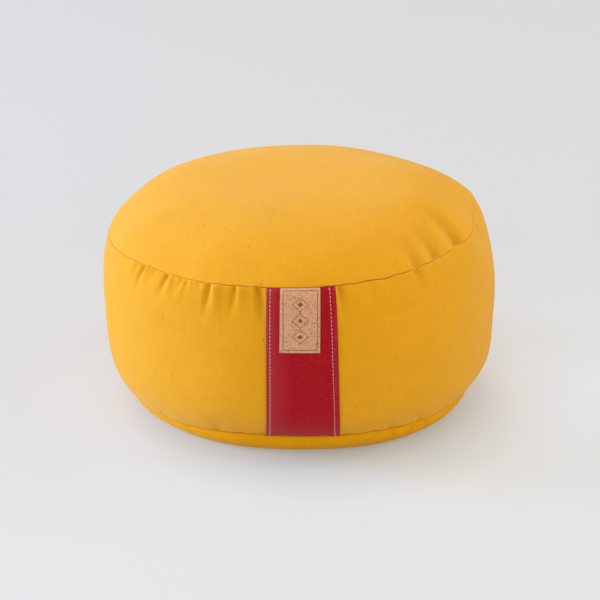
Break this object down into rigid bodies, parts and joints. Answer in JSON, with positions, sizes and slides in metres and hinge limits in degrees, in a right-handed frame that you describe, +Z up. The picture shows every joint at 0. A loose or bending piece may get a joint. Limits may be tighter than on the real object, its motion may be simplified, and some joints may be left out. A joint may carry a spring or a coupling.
{
  "type": "zafu meditation cushion",
  "caption": "Round stuffed floor cushion with a domed top, a full side band between two plain seams, a flat carry strap down its front and a small label tucked into the top seam.",
  "frame": {"origin": "on the floor under the middle of the whole object, at the centre of its box", "axes": "+Z up; -Y towards the front, where the strap and the label are; +X to the right of someone facing the front"},
  "size_m": [0.329, 0.3322, 0.1863],
  "materials": {
    "canvas": "matt yellow cotton canvas",
    "strap_cotton": "matt wine red cotton",
    "label_cloth": "matt pale cork-like cloth"
  },
  "bodies": {
    "root": {"cushion": "canvas", "strap": "strap_cotton", "label": "label_cloth"}
  },
  "joints": []
}
